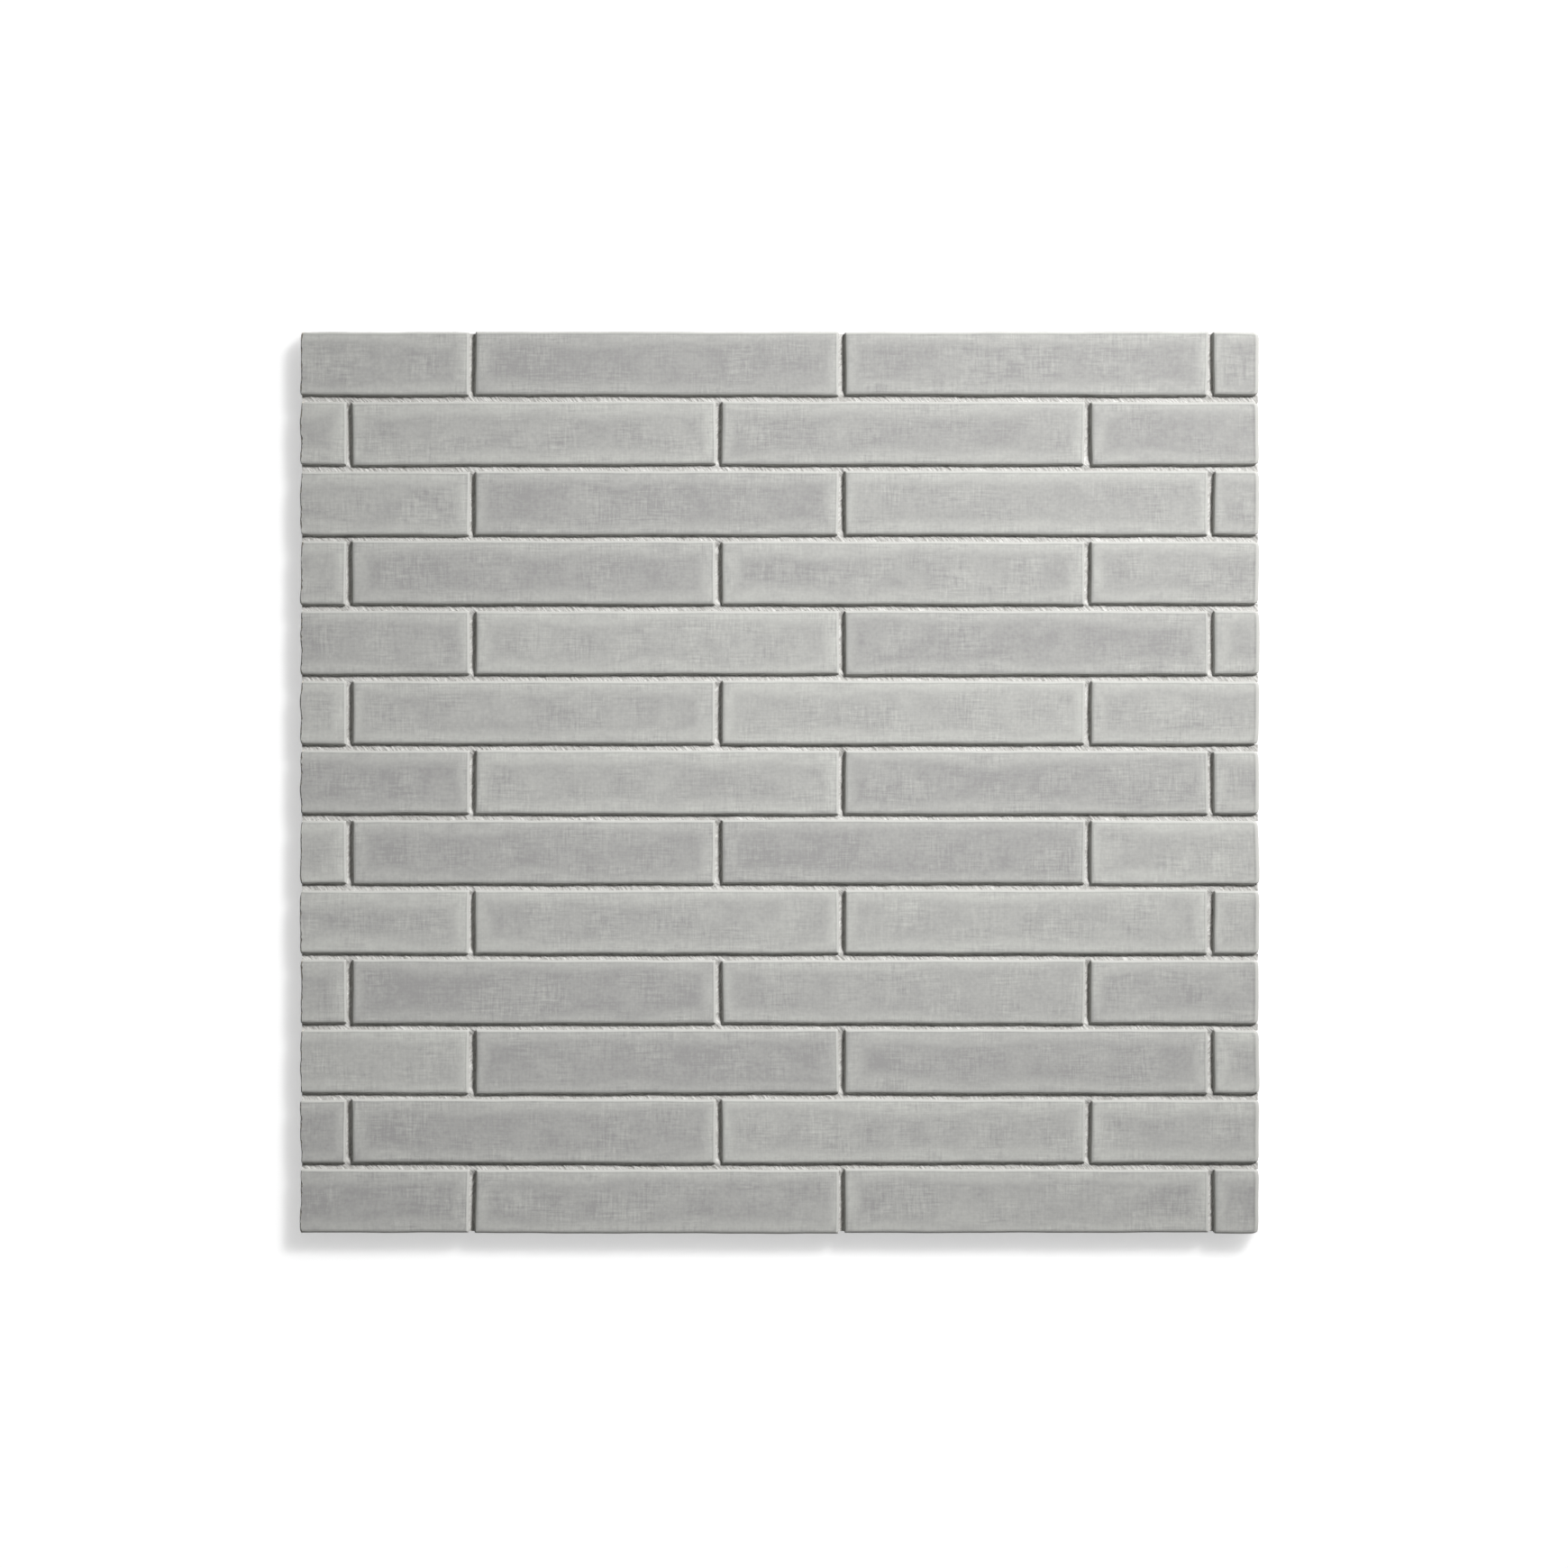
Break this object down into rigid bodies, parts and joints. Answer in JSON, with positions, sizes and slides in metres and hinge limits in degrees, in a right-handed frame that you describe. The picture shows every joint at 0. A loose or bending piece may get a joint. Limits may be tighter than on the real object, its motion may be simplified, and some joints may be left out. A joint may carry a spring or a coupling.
{
  "type": "mosaic tile sheet",
  "caption": "Sheet of narrow brick-shaped glazed ceramic tiles in offset courses on a glass net, grouted and cut straight at both ends, to bond to a wall or floor.",
  "frame": {"origin": "centre of the sheet's underside, the face of the net that is bonded to the wall", "axes": "+X along the courses, +Y across them towards the first course, +Z out of the glazed faces"},
  "size_m": [0.3962, 0.3727, 0.0084],
  "materials": {
    "tile_glaze": "satin",
    "grout": "matte",
    "glass_net": "matte"
  },
  "bodies": {
    "root": {"course_01_cut_left": "tile_glaze", "course_01_tile_1": "tile_glaze", "course_01_tile_2": "tile_glaze", "course_01_cut_right": "tile_glaze", "course_02_cut_left": "tile_glaze", "course_02_tile_1": "tile_glaze", "course_02_tile_2": "tile_glaze", "course_02_cut_right": "tile_glaze", "course_03_cut_left": "tile_glaze", "course_03_tile_1": "tile_glaze", "course_03_tile_2": "tile_glaze", "course_03_cut_right": "tile_glaze", "course_04_cut_left": "tile_glaze", "course_04_tile_1": "tile_glaze", "course_04_tile_2": "tile_glaze", "course_04_cut_right": "tile_glaze", "course_05_cut_left": "tile_glaze", "course_05_tile_1": "tile_glaze", "course_05_tile_2": "tile_glaze", "course_05_cut_right": "tile_glaze", "course_06_cut_left": "tile_glaze", "course_06_tile_1": "tile_glaze", "course_06_tile_2": "tile_glaze", "course_06_cut_right": "tile_glaze", "course_07_cut_left": "tile_glaze", "course_07_tile_1": "tile_glaze", "course_07_tile_2": "tile_glaze", "course_07_cut_right": "tile_glaze", "course_08_cut_left": "tile_glaze", "course_08_tile_1": "tile_glaze", "course_08_tile_2": "tile_glaze", "course_08_cut_right": "tile_glaze", "course_09_cut_left": "tile_glaze", "course_09_tile_1": "tile_glaze", "course_09_tile_2": "tile_glaze", "course_09_cut_right": "tile_glaze", "course_10_cut_left": "tile_glaze", "course_10_tile_1": "tile_glaze", "course_10_tile_2": "tile_glaze", "course_10_cut_right": "tile_glaze", "course_11_cut_left": "tile_glaze", "course_11_tile_1": "tile_glaze", "course_11_tile_2": "tile_glaze", "course_11_cut_right": "tile_glaze", "course_12_cut_left": "tile_glaze", "course_12_tile_1": "tile_glaze", "course_12_tile_2": "tile_glaze", "course_12_cut_right": "tile_glaze", "course_13_cut_left": "tile_glaze", "course_13_tile_1": "tile_glaze", "course_13_tile_2": "tile_glaze", "course_13_cut_right": "tile_glaze", "grout": "grout", "backing_net": "glass_net"}
  },
  "joints": []
}
